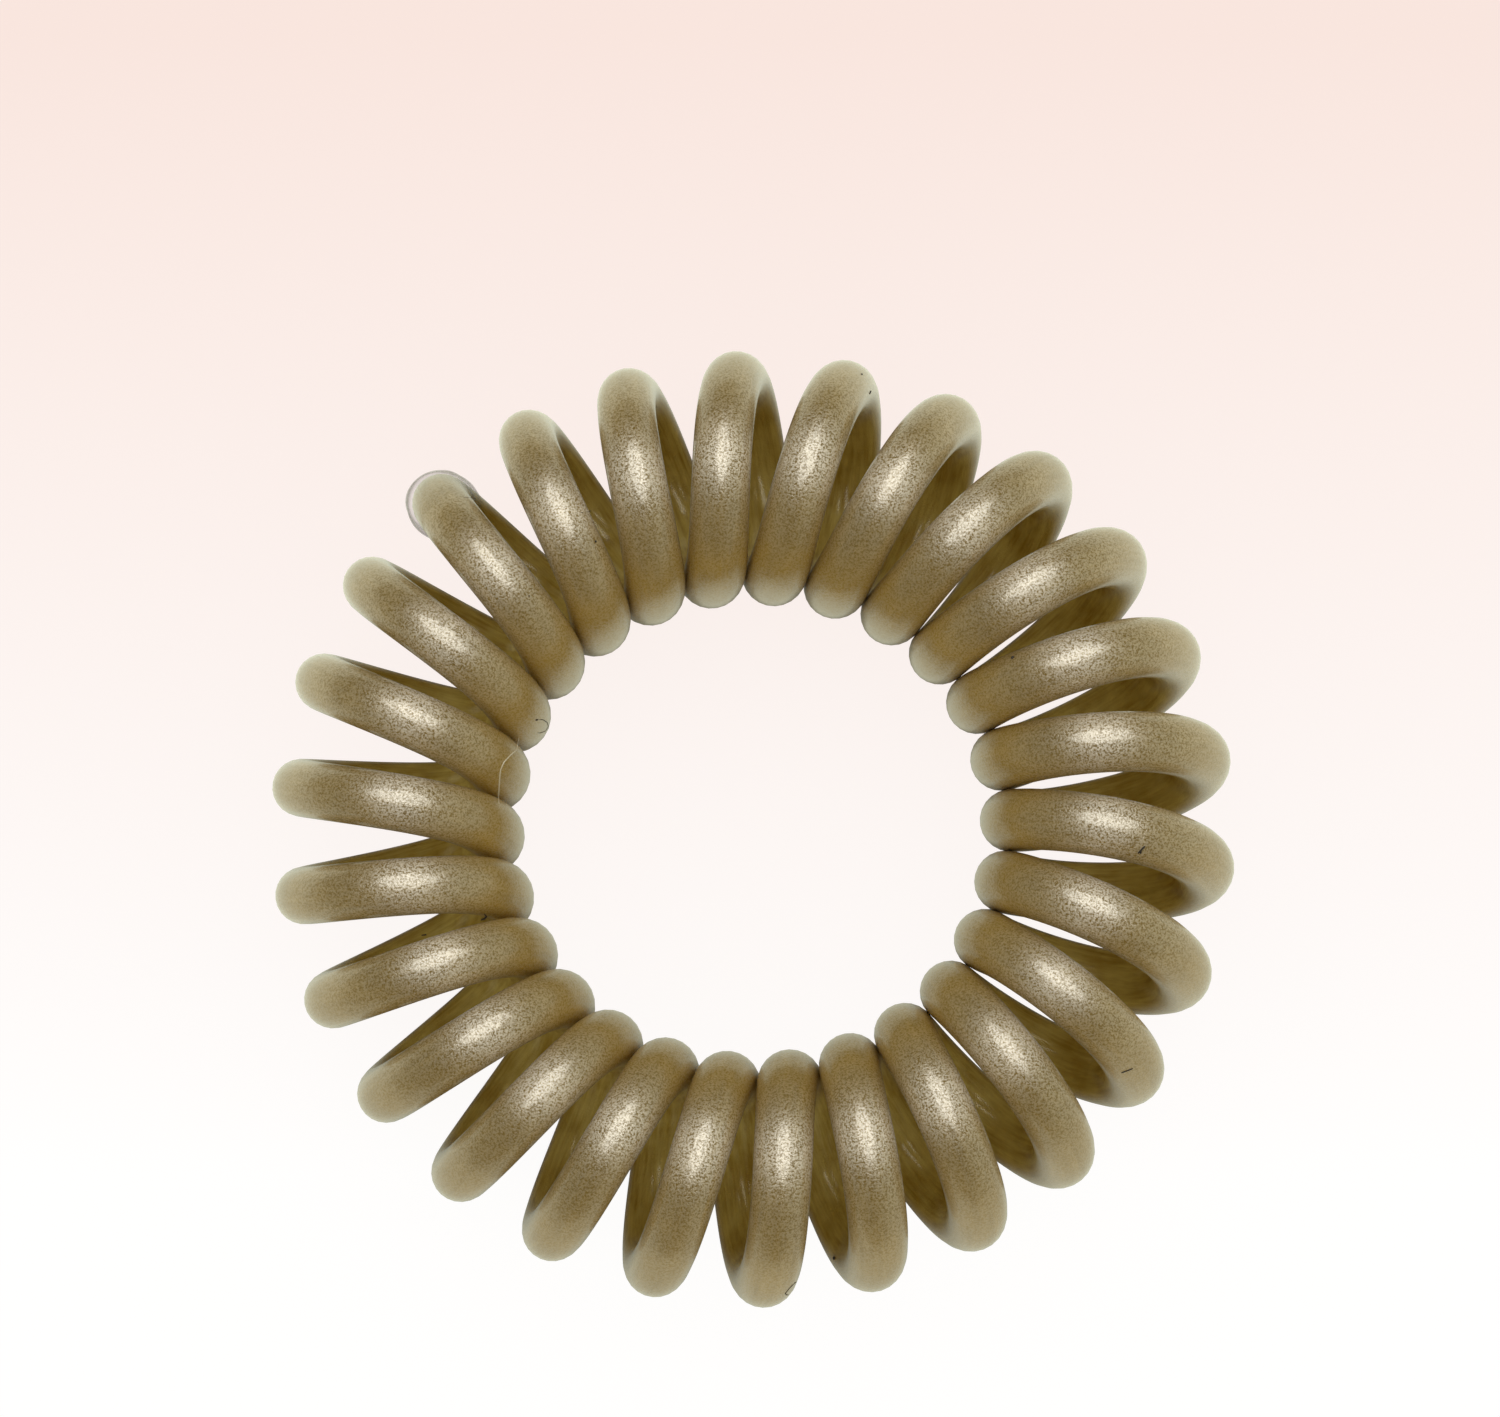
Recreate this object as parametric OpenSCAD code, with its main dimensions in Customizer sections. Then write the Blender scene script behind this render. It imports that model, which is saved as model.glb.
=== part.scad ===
/* [Ring] */
// Outside diameter of the whole ring, over the tips of the turns
ring_d = 34.8; // [31:0.1:44]
// Outside diameter of the coil, which is the height of the tie as it lies flat
coil_d = 9.2; // [8:0.1:11]
// Gap between neighbouring turns where they crowd together round the hair hole
turn_gap = 0.1; // [0.05:0.01:0.6]
/* [Strand] */
// Diameter of the round strand
strand_d = 2.13; // [1.7:0.01:2.6]
// Gap between the two cut ends of the strand, inside the join sleeve
end_gap = 0.1; // [0.05:0.01:0.3]
/* [Join sleeve] */
// Thickness of the clear sleeve's wall
sleeve_wall = 0.18; // [0.1:0.01:0.4]
// Length of the sleeve along the strand
sleeve_l = 4.4; // [2:0.1:6]
// Gap all round between the strand and the bore of the sleeve
sleeve_gap = 0.04; // [0.02:0.01:0.15]
// Place of the join on the ring, in degrees clockwise from +Y
join_at = 316.7; // [0:0.1:360]
/* [Hidden] */
strand_sides = 10;
strand_rings = 520;
round_faces = 48;
// Centreline of the strand: a helix wound round a circle that lies flat
ring_r = (ring_d - coil_d) / 2;
coil_r = (coil_d - strand_d) / 2;
turns = floor(2 * PI * (ring_r - coil_r) / (strand_d + turn_gap));
turn_rings = 2 * floor(strand_rings / turns / 2);
// The strand bends round the outer tip of a turn with this radius and this lean from upright
tip_r = ring_r + coil_r;
tip_advance = tip_r / turns;
tip_lean = atan2(tip_advance, coil_r);
tip_bend_r = (coil_r * coil_r + tip_advance * tip_advance) / (coil_r + tip_advance / turns);

// Point of the centreline, after a share of the way round the ring from the join
function strand_at(share) =
  let (
    clock = join_at + 360 * share,
    around = 360 * turns * share,
    out = ring_r + coil_r * cos(around)
  )
  [out * sin(clock), out * cos(clock), coil_d / 2 - coil_r * sin(around)];

// Direction in which the centreline runs there
function strand_way(share) =
  let (near = 0.0001, step = strand_at(share + near) - strand_at(share - near))
  step / norm(step);

// Direction from the middle of the coil out through the strand there
function coil_out(share) =
  let (clock = join_at + 360 * share, around = 360 * turns * share)
  [cos(around) * sin(clock), cos(around) * cos(clock), -sin(around)];

// One ring of points on the skin of the strand, square to its centreline
function skin_at(share) =
  let (
    way = strand_way(share),
    out = coil_out(share),
    square_out = out - (out * way) * way,
    across = square_out / norm(square_out),
    beside = cross(way, across)
  )
  [
    for (side = [0 : strand_sides - 1])
      let (angle = 360 * side / strand_sides)
        strand_at(share) + strand_d / 2 * (cos(angle) * across + sin(angle) * beside)
  ];

module coil_strand() {
  steps = turns * turn_rings;
  // the cut ends stop short of the join by half the end gap each
  cut = end_gap / 2 / (2 * PI * turns * norm([coil_r, tip_advance]));
  shares = [cut, for (step = [1 : steps - 1]) step / steps, 1 - cut];
  last = steps * strand_sides;
  color([0.62, 0.56, 0.42])
    polyhedron(
      points = [for (share = shares) each skin_at(share)],
      faces = [
        [for (side = [0 : strand_sides - 1]) side],
        for (step = [0 : steps - 1], side = [0 : strand_sides - 1])
          let (
            here = step * strand_sides,
            next = here + strand_sides,
            beside = (side + 1) % strand_sides
          )
          each [
            [here + side, next + side, next + beside],
            [here + side, next + beside, here + beside]
          ],
        [for (side = [strand_sides - 1 : -1 : 0]) last + side]
      ]
    );
}

module join_sleeve() {
  bore_d = strand_d + 2 * sleeve_gap;
  sleeve_arc = sleeve_l / tip_bend_r * 180 / PI;
  color([0.93, 0.93, 0.9, 0.4])
    translate([0, 0, coil_d / 2])
      rotate([0, 0, 90 - join_at])
        translate([tip_r - tip_bend_r, 0, 0])
          rotate([90 - tip_lean, 0, 0])
            rotate([0, 0, -sleeve_arc / 2])
              rotate_extrude(angle = sleeve_arc, $fn = round_faces)
                translate([tip_bend_r, 0])
                  difference() {
                    circle(d = bore_d + 2 * sleeve_wall, $fn = round_faces);
                    circle(d = bore_d, $fn = round_faces);
                  }
}

coil_strand();
join_sleeve();
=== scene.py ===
"""Looks of the spiral hair tie: a pearly plastic strand wound in a coil round a ring,
with its two ends joined in a short clear sleeve."""

import math

import bpy
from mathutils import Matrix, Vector, noise


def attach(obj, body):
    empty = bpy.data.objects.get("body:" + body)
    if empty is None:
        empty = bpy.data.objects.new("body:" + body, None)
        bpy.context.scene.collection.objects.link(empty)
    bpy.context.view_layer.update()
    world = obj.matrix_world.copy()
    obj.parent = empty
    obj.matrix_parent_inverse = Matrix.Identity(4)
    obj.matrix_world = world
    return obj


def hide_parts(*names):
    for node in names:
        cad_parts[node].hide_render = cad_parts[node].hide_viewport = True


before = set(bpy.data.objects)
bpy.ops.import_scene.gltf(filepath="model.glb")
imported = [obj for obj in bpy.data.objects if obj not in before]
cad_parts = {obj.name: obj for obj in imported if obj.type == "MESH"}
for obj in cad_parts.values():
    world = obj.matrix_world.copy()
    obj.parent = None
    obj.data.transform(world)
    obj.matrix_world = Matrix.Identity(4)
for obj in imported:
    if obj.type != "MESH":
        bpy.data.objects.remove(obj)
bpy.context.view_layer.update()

# Coil strand
# One long round strand of soft polyurethane with pearl pigment in it, extruded, wound
# hot on a thin rod and bent round into a ring, so that it holds its turns by itself.
MM = 0.001
ring_diameter = 34.8 * MM
coil_diameter = 9.2 * MM
strand_diameter = 2.13 * MM
turns = 26
join_angle = math.radians(316.7)
end_gap = 0.1 * MM
turn_lean = math.radians(0.28)
thickening = 0.03
hole_swell = 0.055
hole_swell_reach = 8.0
points_a_turn = 120
faces_round = 24

strand_radius = strand_diameter / 2
ring_radius = (ring_diameter - coil_diameter) / 2
coil_radius = (coil_diameter - strand_diameter) / 2
inner_bends = ring_radius - coil_radius
strand_length = turns * math.tau * math.hypot(coil_radius, ring_radius / turns)

plastic_deep = (0.410, 0.250, 0.030, 1)
plastic_light = (0.495, 0.302, 0.037, 1)
between_flakes = (0.06, 0.04, 0.01, 1)
# Painted light for the side that faces the coil's middle, in shade between the turns
rod_side_painted_light_deep = (0.42, 0.27, 0.030, 1)
rod_side_painted_light_pale = (0.72, 0.57, 0.15, 1)
# Painted light for the rim of the hole
hole_rim_painted_light = (0.70, 0.57, 0.31, 1)

flakes_a_mm = 13
streaks_a_mm = 6
clouds_a_mm = 0.7
streak_squeeze = 0.08
flake_relief = 0.018 * MM
groove_relief = 0.03 * MM
groove_strength = 0.3
flecks_below = 0.10
flecks_on_top = 0.50

# The shares of mirror shine left between the flakes, then polish and roughness
shine_at_hole = 0.22
shine_outside = 0.55
shine_on_top = 0.05
rod_side_shine = 0.02
rod_side_polish = 0.4
rod_side_roughness = 0.75
streak_rough = 0.55
streak_smooth = 0.46

# Where on the coil the looks of the strand change
top_from = 0.70 * coil_diameter
top_full = 0.97 * coil_diameter
rod_side_full = coil_radius - 0.6 * strand_radius
rod_side_end = coil_radius + 0.1 * strand_radius
hole_rim_full = inner_bends - strand_radius
hole_rim_end = inner_bends - 0.35 * strand_radius
hole_slope_from = inner_bends + 0.4 * strand_radius
hole_slope_end = inner_bends + 2.0 * strand_radius
grooves_full = coil_radius + 0.8 * strand_radius


def add_node(tree, kind, inputs=None, **settings):
    """Adds a node, sets it up, and gives each input a value or a link."""
    node = tree.nodes.new(kind)
    for name, value in settings.items():
        setattr(node, name, value)
    for place, value in (inputs or {}).items():
        if isinstance(value, bpy.types.NodeSocket):
            tree.links.new(value, node.inputs[place])
        else:
            node.inputs[place].default_value = value
    return node


def reckon(tree, operation, first, second=0.0):
    """One sum on numbers, as a node, and its result."""
    return add_node(tree, "ShaderNodeMath", {0: first, 1: second}, operation=operation).outputs[0]


def between(tree, share, first, second):
    """A number that goes from the first to the second as the share goes from 0 to 1."""
    inputs = {"Factor": share, "A": first, "B": second}
    return add_node(tree, "ShaderNodeMix", inputs).outputs["Result"]


def two_tone(tree, share, first, second):
    """A colour that goes from the first to the second as the share goes from 0 to 1."""
    inputs = {"Factor": share, 6: first, 7: second}
    return add_node(tree, "ShaderNodeMix", inputs, data_type="RGBA").outputs[2]


def ramp(tree, value, low=0.0, high=1.0, at_low=0.0, at_high=1.0, course="LINEAR"):
    """A number that goes from at_low to at_high as the value goes from low to high."""
    return add_node(
        tree,
        "ShaderNodeMapRange",
        {"Value": value, "From Min": low, "From Max": high, "To Min": at_low, "To Max": at_high},
        interpolation_type=course,
    ).outputs["Result"]


def speckle(tree, place, marks_a_mm, detail=2.0, roughness=0.5):
    """A random pattern with this many marks to the millimetre."""
    return add_node(
        tree,
        "ShaderNodeTexNoise",
        {"Vector": place, "Scale": marks_a_mm / MM, "Detail": detail, "Roughness": roughness},
    ).outputs["Fac"]


def how_far(tree, offset):
    """The length of an offset."""
    return add_node(tree, "ShaderNodeVectorMath", {0: offset}, operation="LENGTH").outputs["Value"]


def new_rule(name, sockets):
    """A new tree with these named inputs and a geometry output, and what it is given."""
    tree = bpy.data.node_groups.new(name, "GeometryNodeTree")
    for socket, kind in sockets.items():
        tree.interface.new_socket(socket, in_out="INPUT", socket_type="NodeSocket" + kind)
    tree.interface.new_socket("Geometry", in_out="OUTPUT", socket_type="NodeSocketGeometry")
    return tree, tree.nodes.new("NodeGroupInput").outputs


def mark_points(tree, curve, name, value, kind="FLOAT_VECTOR"):
    """Keeps a value at each point of a curve, under a name that the material reads."""
    return add_node(
        tree,
        "GeometryNodeStoreNamedAttribute",
        {"Geometry": curve, "Name": name, "Value": value},
        data_type=kind,
        domain="POINT",
    ).outputs["Geometry"]


def sweep(tree, curve, section, closed_ends, material):
    """Sweeps a section along a curve, gives the skin its material, and ends the tree."""
    skin = add_node(
        tree,
        "GeometryNodeCurveToMesh",
        {
            "Curve": curve,
            "Profile Curve": section,
            "Scale": tree.nodes.new("GeometryNodeInputRadius").outputs[0],
            "Fill Caps": closed_ends,
        },
    )
    smooth = add_node(tree, "GeometryNodeSetShadeSmooth", {"Geometry": skin.outputs["Mesh"]})
    real = add_node(tree, "GeometryNodeRealizeInstances", {"Geometry": smooth.outputs["Geometry"]})
    dressed = add_node(
        tree,
        "GeometryNodeSetMaterial",
        {"Geometry": real.outputs["Geometry"], "Material": material},
    )
    add_node(tree, "NodeGroupOutput", {"Geometry": dressed.outputs["Geometry"]})


def winding_rule():
    """The node tree that winds the strand round the ring from its few sizes."""
    tree, given = new_rule(
        "strand winding",
        {
            "Ring radius": "Float",
            "Coil radius": "Float",
            "Strand radius": "Float",
            "Join angle": "Float",
            "Turn lean": "Float",
            "Thickening": "Float",
            "Hole swell": "Float",
            "Hole swell reach": "Float",
            "First share": "Float",
            "Last share": "Float",
            "Turns": "Int",
            "Steps": "Int",
            "Faces round": "Int",
            "Closed ends": "Bool",
            "Material": "Material",
        },
    )
    line = add_node(tree, "GeometryNodeCurvePrimitiveLine", {"End": (1, 0, 0)})
    stations = add_node(
        tree,
        "GeometryNodeResampleCurve",
        {"Curve": line.outputs["Curve"], "Count": reckon(tree, "ADD", given["Steps"], 1.0)},
    )
    place = tree.nodes.new("GeometryNodeInputPosition")
    along = add_node(tree, "ShaderNodeSeparateXYZ", {0: place.outputs[0]}).outputs["X"]
    stretch = reckon(tree, "SUBTRACT", given["Last share"], given["First share"])
    share = reckon(tree, "ADD", reckon(tree, "MULTIPLY", along, stretch), given["First share"])
    marked = mark_points(tree, stations.outputs["Curve"], "strand_share", share, "FLOAT")

    # The clock angle round the ring, and the angle round the coil
    whole = reckon(tree, "MULTIPLY", share, math.tau)
    even_clock = reckon(tree, "ADD", whole, given["Join angle"])
    around = reckon(tree, "MULTIPLY", whole, given["Turns"])
    rightward = reckon(tree, "SINE", even_clock)
    lean = reckon(tree, "MULTIPLY", reckon(tree, "ADD", rightward, 1.0), given["Turn lean"])
    leant = reckon(tree, "MULTIPLY", lean, reckon(tree, "SINE", around))
    clock = reckon(tree, "SUBTRACT", even_clock, leant)

    # The strand is thicker at the right of the ring and at the inner bends
    half_cosine = reckon(tree, "MULTIPLY", reckon(tree, "COSINE", around), 0.5)
    holeward = reckon(tree, "SUBTRACT", 0.5, half_cosine)
    at_hole = reckon(tree, "POWER", holeward, given["Hole swell reach"])
    round_ring = reckon(tree, "MULTIPLY", rightward, given["Thickening"])
    swell = between(tree, at_hole, round_ring, given["Hole swell"])
    thickness = reckon(tree, "ADD", swell, 1.0)

    # The inner bends are drawn back by as much, so that the hole keeps its size
    hole_share = reckon(tree, "MULTIPLY", at_hole, given["Hole swell"])
    drawn_back = reckon(tree, "MULTIPLY", hole_share, given["Strand radius"])
    reach = reckon(
        tree,
        "MULTIPLY",
        reckon(tree, "COSINE", around),
        reckon(tree, "SUBTRACT", given["Coil radius"], drawn_back),
    )
    out = reckon(tree, "ADD", reach, given["Ring radius"])
    drop = reckon(tree, "MULTIPLY", reckon(tree, "SINE", around), given["Coil radius"])
    middle = reckon(tree, "ADD", given["Coil radius"], given["Strand radius"])
    at = add_node(
        tree,
        "ShaderNodeCombineXYZ",
        {
            "X": reckon(tree, "MULTIPLY", out, reckon(tree, "SINE", clock)),
            "Y": reckon(tree, "MULTIPLY", out, reckon(tree, "COSINE", clock)),
            "Z": reckon(tree, "SUBTRACT", middle, drop),
        },
    )
    sized = add_node(tree, "GeometryNodeSetCurveRadius", {"Curve": marked, "Radius": thickness})
    wound = add_node(
        tree,
        "GeometryNodeSetPosition",
        {"Geometry": sized.outputs["Curve"], "Position": at.outputs[0]},
    )
    tangent = tree.nodes.new("GeometryNodeInputTangent").outputs[0]
    led = mark_points(tree, wound.outputs["Geometry"], "strand_way", tangent)
    section = add_node(
        tree,
        "GeometryNodeCurvePrimitiveCircle",
        {"Resolution": given["Faces round"], "Radius": given["Strand radius"]},
    )
    edge = tree.nodes.new("GeometryNodeInputPosition").outputs[0]
    rounded = mark_points(tree, section.outputs["Curve"], "strand_round", edge)
    sweep(tree, led, rounded, given["Closed ends"], given["Material"])
    return tree


def made_by_rule(name, tree, sizes, start=None):
    """Runs a node tree with these sizes and keeps its result as a plain mesh."""
    start = start or bpy.data.meshes.new(name + "_blank")
    blank = bpy.data.objects.new(name + "_blank", start)
    bpy.context.scene.collection.objects.link(blank)
    rule = blank.modifiers.new("rule", "NODES")
    rule.node_group = tree
    for socket in tree.interface.items_tree:
        if socket.item_type == "SOCKET" and socket.name in sizes:
            rule[socket.identifier] = sizes[socket.name]
    bpy.context.view_layer.update()
    shaped = blank.evaluated_get(bpy.context.evaluated_depsgraph_get())
    mesh = bpy.data.meshes.new_from_object(shaped)
    mesh.name = name
    bpy.data.objects.remove(blank)
    piece = bpy.data.objects.new(name, mesh)
    bpy.context.scene.collection.objects.link(piece)
    return piece


def new_finish(name):
    """A new material with nodes, its tree and its shader."""
    material = bpy.data.materials.new(name)
    material.use_nodes = True
    return material, material.node_tree, material.node_tree.nodes["Principled BSDF"]


def pearl_plastic():
    """Olive-brown plastic full of pale mica flakes, drawn out lengthwise as it was extruded.
    It is duller where it lay on the rod. Painted light gives that side, which lies in shade
    between the turns, a lighter and yellower colour, and paints the rim of the hole pale as if lit
    by the bright table in the hole."""
    material, tree, shader = new_finish("pearl plastic")
    shader.inputs["IOR"].default_value = 3.0
    shader.inputs["Anisotropic"].default_value = 0.85
    shader.inputs["Coat Roughness"].default_value = 0.20

    # Where on the coil a point lies
    spot = tree.nodes.new("ShaderNodeTexCoord").outputs["Object"]
    spot_parts = add_node(tree, "ShaderNodeSeparateXYZ", {0: spot}).outputs
    flat_spot = add_node(
        tree, "ShaderNodeCombineXYZ", {"X": spot_parts["X"], "Y": spot_parts["Y"]}
    ).outputs[0]
    from_axis = how_far(tree, flat_spot)
    off_coil_line = add_node(
        tree,
        "ShaderNodeCombineXYZ",
        {
            "X": reckon(tree, "SUBTRACT", from_axis, ring_radius),
            "Y": reckon(tree, "SUBTRACT", spot_parts["Z"], coil_diameter / 2),
        },
    ).outputs[0]
    from_coil_line = how_far(tree, off_coil_line)
    near_top = ramp(tree, spot_parts["Z"], top_from, top_full, course="SMOOTHSTEP")
    rod_side = ramp(tree, from_coil_line, rod_side_full, rod_side_end, 1.0, 0.0, "SMOOTHSTEP")
    hole_rim_light_share = ramp(tree, from_axis, hole_rim_full, hole_rim_end, 1.0, 0.0, "SMOOTHSTEP")

    # Streaks along the strand, flakes in it, and its cloudy tone
    round_at = add_node(tree, "ShaderNodeAttribute", attribute_name="strand_round")
    share_at = add_node(tree, "ShaderNodeAttribute", attribute_name="strand_share")
    parts = add_node(tree, "ShaderNodeSeparateXYZ", {0: round_at.outputs["Vector"]}).outputs
    squeezed = reckon(tree, "MULTIPLY", share_at.outputs["Fac"], strand_length * streak_squeeze)
    drawn = add_node(
        tree, "ShaderNodeCombineXYZ", {"X": parts["X"], "Y": parts["Y"], "Z": squeezed}
    ).outputs[0]
    streaks = speckle(tree, drawn, streaks_a_mm, detail=3.0, roughness=0.6)
    flakes = speckle(tree, spot, flakes_a_mm, roughness=0.7)
    clouds = speckle(tree, spot, clouds_a_mm)
    tint = ramp(tree, reckon(tree, "ADD", clouds, streaks), low=0.7, high=1.3)
    sparkle = ramp(tree, flakes, low=0.38, high=0.57)

    # Colour
    body = two_tone(tree, tint, plastic_deep, plastic_light)
    fleck_share = ramp(tree, near_top, at_low=flecks_below, at_high=flecks_on_top)
    flecks = reckon(tree, "MULTIPLY", reckon(tree, "SUBTRACT", 1.0, sparkle), fleck_share)
    flecked = two_tone(tree, flecks, body, between_flakes)
    # Painted light: the side facing the coil's middle, which lies in shade between the turns, gets
    # a lighter, yellower colour
    rod_side_painted_light = two_tone(tree, tint, rod_side_painted_light_deep, rod_side_painted_light_pale)
    inside_lit = two_tone(tree, rod_side, flecked, rod_side_painted_light)
    # Painted light: the rim of the hole is paled as if lit by the bright table in the hole
    hole_rim_lit = two_tone(tree, hole_rim_light_share, inside_lit, hole_rim_painted_light)
    tree.links.new(hole_rim_lit, shader.inputs["Base Color"])

    # Gloss
    dull = ramp(tree, streaks, low=0.3, high=0.7, at_low=streak_rough, at_high=streak_smooth)
    matt = between(tree, rod_side, dull, rod_side_roughness)
    tree.links.new(matt, shader.inputs["Roughness"])
    off_hole = ramp(
        tree,
        from_axis,
        hole_slope_from,
        hole_slope_end,
        shine_at_hole,
        shine_outside,
        "SMOOTHSTEP",
    )
    skin_shine = ramp(tree, near_top, at_low=off_hole, at_high=shine_on_top)
    mirror = ramp(tree, sparkle, at_low=skin_shine, at_high=1.0)
    bare = ramp(tree, rod_side, at_low=1.0, at_high=rod_side_shine)
    tree.links.new(reckon(tree, "MULTIPLY", mirror, bare), shader.inputs["Specular Tint"])
    polish = ramp(tree, rod_side, at_low=1.0, at_high=rod_side_polish)
    tree.links.new(polish, shader.inputs["Coat Weight"])
    way = add_node(tree, "ShaderNodeAttribute", attribute_name="strand_way").outputs["Vector"]
    facing = tree.nodes.new("ShaderNodeNewGeometry").outputs["Normal"]
    across = add_node(
        tree, "ShaderNodeVectorMath", {0: way, 1: facing}, operation="CROSS_PRODUCT"
    ).outputs[0]
    tree.links.new(across, shader.inputs["Tangent"])

    # Relief of the flakes, and of the fine grooves on the side away from the rod
    grain = add_node(
        tree, "ShaderNodeBump", {"Strength": 1.0, "Distance": flake_relief, "Height": flakes}
    )
    groove_depth = ramp(tree, from_coil_line, coil_radius, grooves_full, 0.0, groove_strength)
    grooves = add_node(
        tree,
        "ShaderNodeBump",
        {
            "Strength": groove_depth,
            "Distance": groove_relief,
            "Height": streaks,
            "Normal": grain.outputs["Normal"],
        },
    )
    tree.links.new(grooves.outputs["Normal"], shader.inputs["Normal"])
    return material


winding = winding_rule()
strand_sizes = {
    "Ring radius": ring_radius,
    "Coil radius": coil_radius,
    "Strand radius": strand_radius,
    "Join angle": join_angle,
    "Turn lean": turn_lean,
    "Thickening": thickening,
    "Hole swell": hole_swell,
    "Hole swell reach": hole_swell_reach,
    "First share": end_gap / 2 / strand_length,
    "Last share": 1 - end_gap / 2 / strand_length,
    "Turns": turns,
    "Steps": turns * points_a_turn,
    "Faces round": faces_round,
    "Closed ends": True,
    "Material": pearl_plastic(),
}
strand = made_by_rule("wound_strand", winding, strand_sizes)
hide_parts("coil_strand")
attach(strand, "root")

# Camera
# The camera stands above the table, a little off the ring's axis towards the front, and
# far enough away for every turn to be seen from nearly the same side.
coil_middle = Vector((0, 0, coil_diameter / 2))
photo_width = 1500
photo_height = 1417
pixels_a_mm = 27.75
ring_middle_pixel = (752.35, 828.1)
eye_distance = 813 * MM
eye_tilt = math.radians(8.9)
sensor_width = 36
eye_from = Vector((0, -math.sin(eye_tilt), math.cos(eye_tilt)))
picture_right = Vector((1, 0, 0))
picture_up = Vector((0, math.cos(eye_tilt), math.sin(eye_tilt)))
aim = (
    coil_middle
    + picture_right * (photo_width / 2 - ring_middle_pixel[0]) / pixels_a_mm * MM
    + picture_up * (ring_middle_pixel[1] - photo_height / 2) / pixels_a_mm * MM
)
camera = bpy.data.objects.new("camera", bpy.data.cameras.new("camera"))
camera.location = coil_middle + eye_distance * eye_from
looking_back = camera.location - aim
camera.rotation_euler = looking_back.to_track_quat("Z", "Y").to_euler()
camera.data.sensor_width = sensor_width
camera.data.lens = sensor_width * pixels_a_mm / MM * eye_distance / photo_width
bpy.context.scene.collection.objects.link(camera)
bpy.context.scene.camera = camera

# Specks and nicks on the strand
# Dust specks stuck to the soft plastic, short nicks and creases in its skin, and one fine
# pale hair that lies over three turns. They sit where the camera sees them on the skin.
speck_right = ((1011.9, 657.4), (1013.5, 657.8))
speck_bottom = ((834.2, 1257.2), (834.8, 1259.6))
speck_upper_left = ((595.0, 541.9), (596.0, 541.1))
speck_join = ((528.6, 596.0), (529.4, 596.0))
speck_left = ((390.6, 790.3), (391.4, 790.3))
speck_crown = ((861.3, 374.3), (862.1, 374.3))
bubble_crown = ((869.4, 394.2), (870.0, 392.5), (870.9, 390.9))
nick_right = ((1145.0, 846.0), (1141.2, 850.0), (1137.8, 853.6))
nick_right_prong = ((1141.4, 849.6), (1140.4, 854.2))
nick_lower_right = ((1133.2, 1068.3), (1125.3, 1071.3), (1121.2, 1073.0))
crease_upper_left = ((576.2, 514.2), (579.5, 512.8), (583.3, 512.3), (590.8, 510.8))
scrape_lower_left = ((421.5, 935.4), (426.5, 934.7))
hook_left = ((484.0, 913.5), (486.5, 916.5), (484.6, 918.6), (480.7, 920.2))
curl_left = (
    (536.3, 719.7),
    (543.0, 719.7),
    (547.3, 722.5),
    (548.3, 726.7),
    (545.0, 731.3),
    (540.0, 733.0),
    (536.8, 732.7),
)
curl_left_ends = ((535.8, 719.7), (537.4, 719.9))
loop_bottom = (
    (797.8, 1281.0),
    (794.5, 1283.0),
    (788.7, 1288.8),
    (785.3, 1293.5),
    (786.7, 1295.0),
    (792.8, 1293.8),
    (796.2, 1289.7),
    (798.3, 1284.7),
    (797.8, 1281.0),
)
pale_hair = (
    (519.0, 737.0),
    (516.3, 750.0),
    (511.3, 754.2),
    (504.7, 760.8),
    (500.8, 767.5),
    (499.8, 775.0),
    (499.0, 786.7),
    (498.3, 796.7),
    (499.2, 808.0),
)
# Each stroke goes with half its width in millimetres
dark_strokes = (
    (speck_right, 0.066),
    (speck_bottom, 0.062),
    (speck_upper_left, 0.046),
    (speck_join, 0.036),
    (speck_left, 0.030),
    (speck_crown, 0.034),
    (bubble_crown, 0.034),
    (nick_right, 0.036),
    (nick_right_prong, 0.026),
    (nick_lower_right, 0.030),
    (crease_upper_left, 0.018),
    (scrape_lower_left, 0.026),
    (hook_left, 0.034),
    (curl_left, 0.015),
    (curl_left_ends, 0.036),
    (loop_bottom, 0.019),
)
light_strokes = ((pale_hair, 0.026),)
blunt_ends = 6.0
thinnest_end = 0.01
dust_deep = (0.012, 0.008, 0.003, 1)
dust_light = (0.06, 0.035, 0.012, 1)
dust_roughness = 0.8
hair_deep = (0.75, 0.66, 0.42, 1)
hair_light = (0.90, 0.82, 0.60, 1)
hair_roughness = 0.4
blotches_a_mm = 9


def skin_at(pixel):
    """The point of the strand's skin that shows at a pixel of the photo's frame."""
    pixels_to_eye = pixels_a_mm / MM * eye_distance
    ray = Vector((pixel[0] - photo_width / 2, photo_height / 2 - pixel[1], -pixels_to_eye))
    ray.rotate(camera.rotation_euler)
    found, point, _, _ = strand.ray_cast(camera.location, ray.normalized())
    return point if found else None


def strokes_on_skin(name, strokes):
    """A mesh of bare edges that follow each stroke over the skin, with their half widths."""
    points, edges, half_widths = [], [], []
    parts_a_step = 3
    for pixels, half_width in strokes:
        first = len(points)
        for here, there in zip(pixels, pixels[1:]):
            for part in range(parts_a_step):
                share = part / parts_a_step
                pixel = [a + (b - a) * share for a, b in zip(here, there)]
                points.append(skin_at(pixel))
        points.append(skin_at(pixels[-1]))
        points[first:] = [point for point in points[first:] if point]
        half_widths += [half_width * MM] * (len(points) - first)
        edges += [(index, index + 1) for index in range(first, len(points) - 1)]
    mesh = bpy.data.meshes.new(name + "_strokes")
    mesh.from_pydata(points, edges, [])
    width = mesh.attributes.new("half_width", "FLOAT", "POINT")
    width.data.foreach_set("value", half_widths)
    return mesh


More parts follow.
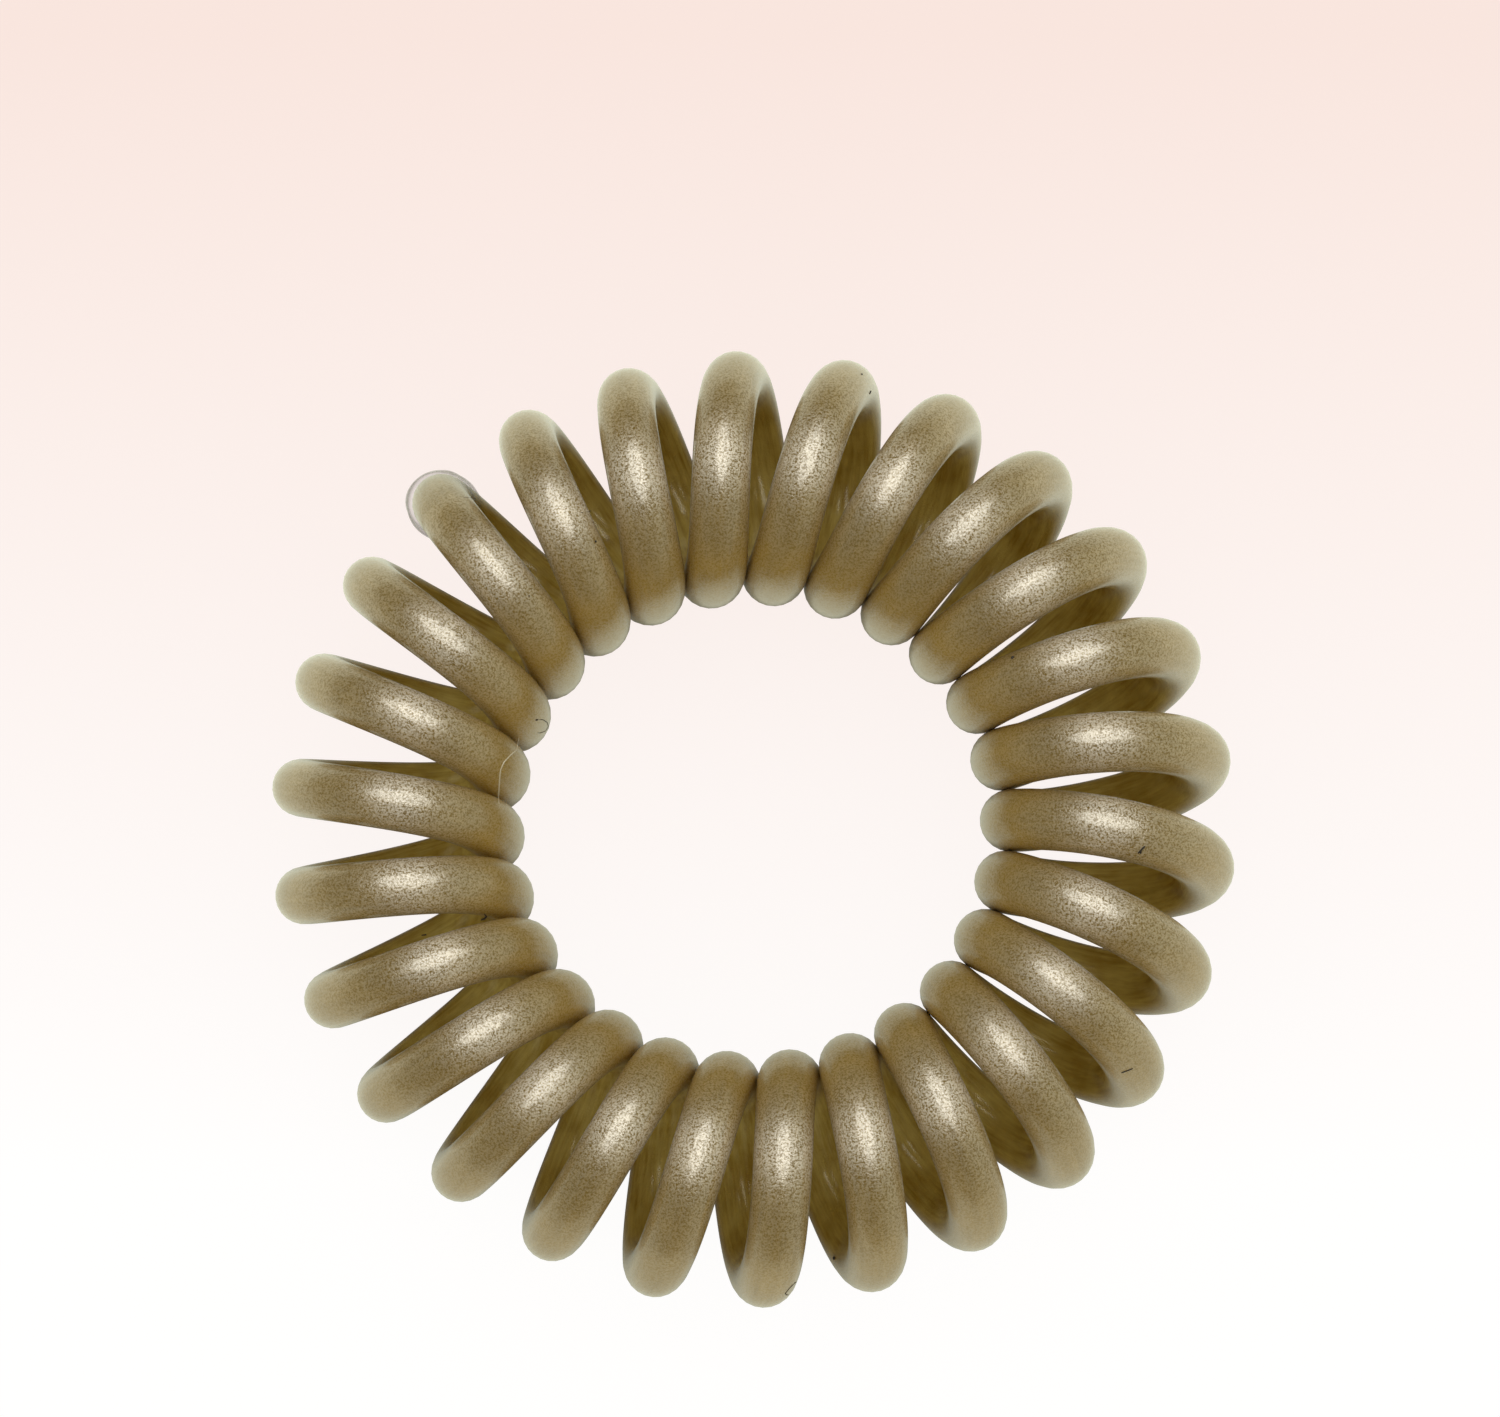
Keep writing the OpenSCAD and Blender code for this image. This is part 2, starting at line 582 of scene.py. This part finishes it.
def stroke_rule():
    """The node tree that gives each stroke a round body with tapered ends."""
    tree, given = new_rule(
        "stroke on the skin",
        {"Geometry": "Geometry", "Steps": "Int", "Faces round": "Int", "Material": "Material"},
    )
    path = add_node(tree, "GeometryNodeMeshToCurve", {"Mesh": given["Geometry"]})
    even = add_node(
        tree,
        "GeometryNodeResampleCurve",
        {"Curve": path.outputs["Curve"], "Count": given["Steps"]},
    )
    along = tree.nodes.new("GeometryNodeSplineParameter").outputs["Factor"]
    off_middle = reckon(tree, "SUBTRACT", reckon(tree, "MULTIPLY", along, 2.0), 1.0)
    left_over = reckon(tree, "SUBTRACT", 1.0, reckon(tree, "POWER", off_middle, blunt_ends))
    taper = reckon(tree, "SQRT", reckon(tree, "MAXIMUM", left_over, thinnest_end))
    half_width = add_node(
        tree, "GeometryNodeInputNamedAttribute", {"Name": "half_width"}, data_type="FLOAT"
    ).outputs["Attribute"]
    swollen = add_node(
        tree,
        "GeometryNodeSetCurveRadius",
        {
            "Curve": even.outputs["Curve"],
            "Radius": reckon(tree, "MULTIPLY", taper, half_width),
        },
    )
    section = add_node(
        tree,
        "GeometryNodeCurvePrimitiveCircle",
        {"Resolution": given["Faces round"], "Radius": 1.0},
    )
    sweep(tree, swollen.outputs["Curve"], section.outputs["Curve"], True, given["Material"])
    return tree


def blotchy(name, first, second, roughness):
    """A dull finish whose colour drifts between two tones over tenths of a millimetre."""
    material, tree, shader = new_finish(name)
    spot = tree.nodes.new("ShaderNodeTexCoord").outputs["Object"]
    tone = two_tone(tree, speckle(tree, spot, blotches_a_mm), first, second)
    tree.links.new(tone, shader.inputs["Base Color"])
    shader.inputs["Roughness"].default_value = roughness
    return material


bpy.context.view_layer.update()
stroke = stroke_rule()
stroke_sizes = {"Steps": 24, "Faces round": 8}
stroke_sizes["Material"] = blotchy("dark dust", dust_deep, dust_light, dust_roughness)
dark_marks = made_by_rule(
    "specks_and_nicks", stroke, stroke_sizes, strokes_on_skin("specks_and_nicks", dark_strokes)
)
stroke_sizes["Material"] = blotchy("pale hair", hair_deep, hair_light, hair_roughness)
hair = made_by_rule("pale_hair", stroke, stroke_sizes, strokes_on_skin("pale_hair", light_strokes))
for mark in (dark_marks, hair):
    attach(mark, "root")

# Join sleeve
# A short piece of clear film, wrapped round the two cut ends of the strand where they
# meet at the outer tip of one turn. It is shrunk on at its ends and bulges between them.
film_length = 5.2 * MM
film_middle = -0.35 * MM
film_wall = 0.03 * MM
film_gap = 0.02 * MM
film_sunk_ends = 0.08 * MM
film_fade = 1.3 * MM
film_bulge_all_round = 0.03 * MM
film_bulge_left = 0.15 * MM
film_bulge_onward = 0.05 * MM
film_crumple = 0.03 * MM
film_crumple_size = 0.7 * MM
film_lip = 0.16 * MM
film_lip_narrowness = 6
# Painted reflection: brown tones for the clear film's edge lines
film_edge_painted_dark = (0.06, 0.04, 0.01, 1)
film_edge_painted_pale = (0.30, 0.23, 0.10, 1)
film_wrinkles_a_mm = 3.5
film_edge_thinness = 9.0
film_seen_face_on = 0.02


def clear_film():
    """Clear film: face on it hardly shows, and where it turns away it shows as a thin line."""
    material, tree, shader = new_finish("clear film")
    shader.inputs["IOR"].default_value = 1.05
    spot = tree.nodes.new("ShaderNodeTexCoord").outputs["Object"]
    wrinkles = speckle(tree, spot, film_wrinkles_a_mm)
    # The film is clear: these brown tones show only where it turns away, as a painted dark and
    # pale line in place of what its edges reflect
    tone = two_tone(tree, wrinkles, film_edge_painted_dark, film_edge_painted_pale)
    tree.links.new(tone, shader.inputs["Base Color"])
    scuffed = ramp(tree, wrinkles, at_low=0.05, at_high=0.25)
    tree.links.new(scuffed, shader.inputs["Roughness"])
    turned_away = add_node(tree, "ShaderNodeLayerWeight", {"Blend": 0.5}).outputs["Facing"]
    edge_only = reckon(tree, "POWER", turned_away, film_edge_thinness)
    cloudy = ramp(tree, wrinkles, at_low=0.6, at_high=1.0)
    solid = reckon(tree, "ADD", reckon(tree, "MULTIPLY", edge_only, cloudy), film_seen_face_on)
    tree.links.new(solid, shader.inputs["Alpha"])
    return material


film_sizes = dict(strand_sizes)
film_sizes["Strand radius"] = strand_radius + film_gap
film_sizes["First share"] = (film_middle - film_length / 2) / strand_length
film_sizes["Last share"] = (film_middle + film_length / 2) / strand_length
film_sizes["Steps"] = 60
film_sizes["Faces round"] = 72
film_sizes["Closed ends"] = False
film_sizes["Material"] = clear_film()
film = made_by_rule("clear_wrap", winding, film_sizes)
leftward = Vector((-1, 0, 0))
onward = Vector((math.cos(join_angle), -math.sin(join_angle), 0))
along_film = film.data.attributes["strand_share"].data
facings = [corner.normal.copy() for corner in film.data.vertices]
for index, corner in enumerate(film.data.vertices):
    from_start = (along_film[index].value - film_sizes["First share"]) * strand_length
    from_end = min(from_start, film_length - from_start)
    free = min(1.0, max(0.0, from_end / film_fade))
    free = free * free * (3 - 2 * free)
    facing = facings[index]
    lip = film_lip if from_start < film_length / 2 else 0.0
    lip *= max(0.0, facing.dot(onward)) ** film_lip_narrowness
    lift = film_bulge_all_round
    lift += film_bulge_left * max(0.0, facing.dot(leftward))
    lift += film_bulge_onward * max(0.0, facing.dot(onward))
    lift += film_crumple * noise.noise(corner.co / film_crumple_size)
    corner.co += facing * (lift * free + (lip - film_sunk_ends) * (1 - free))
wall = film.modifiers.new("wall", "SOLIDIFY")
wall.thickness = film_wall
wall.offset = 1.0
wall.use_even_offset = True
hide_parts("join_sleeve")
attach(film, "root")

# Floor and studio light
# The tie lies flat on a pale table in a plain studio, under one broad soft light that
# stands a little to the back, and in a dim room with its brightest wall at the right.
floor_half = 3.0
table_pale = (0.85, 0.83, 0.82, 1)
table_white = (1.0, 0.992, 0.985, 1)
table_blush = (0.934, 0.772, 0.714, 1)
table_mirrored = (0.94, 0.98, 0.80, 1)
blush_from = -12 * MM
blush_full = 30 * MM
brighter_from = -20 * MM
brighter_full = 8 * MM
front_strength = 0.72
back_strength = 1.08
hole_light_full = 7.2 * MM
hole_light_end = 8.6 * MM
hole_strength = 0.75
steep_strength = 0.85
steep_up_to = 0.35
slanting_from = 0.65
ring_shade_from = 14.5 * MM
ring_shade_end = 18.0 * MM
ring_shade = 0.18
table_scattered = 0.6
table_seen = 1.07
table_seen_share = 0.9

floor_mesh = bpy.data.meshes.new("floor")
floor_mesh.from_pydata(
    [
        (-floor_half, -floor_half, 0),
        (floor_half, -floor_half, 0),
        (floor_half, floor_half, 0),
        (-floor_half, floor_half, 0),
    ],
    [],
    [(0, 1, 2, 3)],
)
floor = bpy.data.objects.new("floor", floor_mesh)
bpy.context.scene.collection.objects.link(floor)
pale, table, pale_shader = new_finish("pale table")
pale_shader.inputs["Base Color"].default_value = table_pale
pale_shader.inputs["Roughness"].default_value = 0.9
pale_shader.inputs["Specular IOR Level"].default_value = 0.0
table_spot = table.nodes.new("ShaderNodeTexCoord").outputs["Object"]
table_y = add_node(table, "ShaderNodeSeparateXYZ", {0: table_spot}).outputs["Y"]
table_ray = table.nodes.new("ShaderNodeLightPath").outputs
seen = table_ray["Is Camera Ray"]
scattered = table_ray["Is Diffuse Ray"]
blushed = two_tone(table, ramp(table, table_y, blush_from, blush_full), table_white, table_blush)
table_glow = two_tone(table, seen, table_mirrored, blushed)

# What the strand mirrors of the glowing table is painted: brighter towards the back, bright beyond
# the ring, a painted shadow of the ring under it, and a painted pool of light in the hole
farther = ramp(table, table_y, brighter_from, brighter_full, front_strength, back_strength)
from_axis = how_far(table, table_spot)
beyond_ring = ramp(table, from_axis, ring_shade_from, ring_shade_end, ring_shade, 1.0)
in_hole = ramp(table, from_axis, hole_light_full, hole_light_end, hole_strength, 0.0)
turned = add_node(table, "ShaderNodeLayerWeight", {"Blend": 0.5}).outputs["Facing"]
slanting = ramp(table, turned, steep_up_to, slanting_from, steep_strength, 1.0)
hole_light = reckon(table, "MULTIPLY", in_hole, slanting)
mirrored_table = reckon(
    table, "MULTIPLY", farther, reckon(table, "MAXIMUM", beyond_ring, hole_light)
)
scattered_table = between(table, scattered, mirrored_table, table_scattered)
glow = add_node(
    table,
    "ShaderNodeEmission",
    {"Color": table_glow, "Strength": between(table, seen, scattered_table, table_seen)},
)
seen_glow = reckon(table, "MULTIPLY", seen, table_seen_share)
glowing = reckon(table, "MAXIMUM", seen_glow, table_ray["Is Glossy Ray"])
# The painted pool of light in the hole also glows for diffuse rays and lights the strand's inner
# bends
bright = reckon(table, "MAXIMUM", glowing, reckon(table, "MULTIPLY", in_hole, scattered))
lit_table = add_node(
    table,
    "ShaderNodeMixShader",
    {0: bright, 1: pale_shader.outputs["BSDF"], 2: glow.outputs["Emission"]},
)
table.links.new(lit_table.outputs["Shader"], table.nodes["Material Output"].inputs["Surface"])
floor_mesh.materials.append(pale)

right_wall_light = 0.82
left_wall_light = 0.32
back_wall_light = 0.24
ceiling_light = 0.015
room_scattered = 0.58
room_seen = 0.85
room_white = (1.0, 0.99, 0.98, 1)
room_mirrored = (0.93, 1.0, 0.80, 1)
room = bpy.data.worlds.new("room")
room.use_nodes = True
bpy.context.scene.world = room
sky = room.node_tree
direction = sky.nodes.new("ShaderNodeTexCoord").outputs["Generated"]
towards = add_node(sky, "ShaderNodeSeparateXYZ", {0: direction}).outputs
right_wall = reckon(sky, "MULTIPLY", towards["X"], right_wall_light)
left_wall = reckon(sky, "MULTIPLY", towards["X"], -left_wall_light)
back_wall = reckon(sky, "MULTIPLY", towards["Y"], back_wall_light)
walls = reckon(sky, "MAXIMUM", reckon(sky, "MAXIMUM", right_wall, left_wall), back_wall)
mirrored = reckon(sky, "ADD", walls, ceiling_light)
sky_ray = sky.nodes.new("ShaderNodeLightPath").outputs
even = between(sky, sky_ray["Is Diffuse Ray"], mirrored, room_scattered)
room_light = between(sky, sky_ray["Is Camera Ray"], even, room_seen)
sky.links.new(room_light, sky.nodes["Background"].inputs["Strength"])
room_colour = two_tone(sky, sky_ray["Is Glossy Ray"], room_white, room_mirrored)
sky.links.new(room_colour, sky.nodes["Background"].inputs["Color"])

lamp_distance = 0.5
lamp_lean = math.radians(16)
lamp_turn = math.radians(8)
lamp = bpy.data.objects.new("soft_light", bpy.data.lights.new("soft_light", "AREA"))
lamp.data.shape = "DISK"
lamp.data.size = 0.50
lamp.data.energy = 3.5
lamp.data.color = (1.0, 1.0, 0.92)
lamp_from = Vector(
    (
        math.sin(lamp_lean) * math.sin(lamp_turn),
        math.sin(lamp_lean) * math.cos(lamp_turn),
        math.cos(lamp_lean),
    )
)
lamp.location = coil_middle + lamp_distance * lamp_from
lamp.rotation_euler = lamp_from.to_track_quat("Z", "Y").to_euler()
lamp.visible_diffuse = False
bpy.context.scene.collection.objects.link(lamp)
bpy.context.scene.view_settings.view_transform = "Standard"
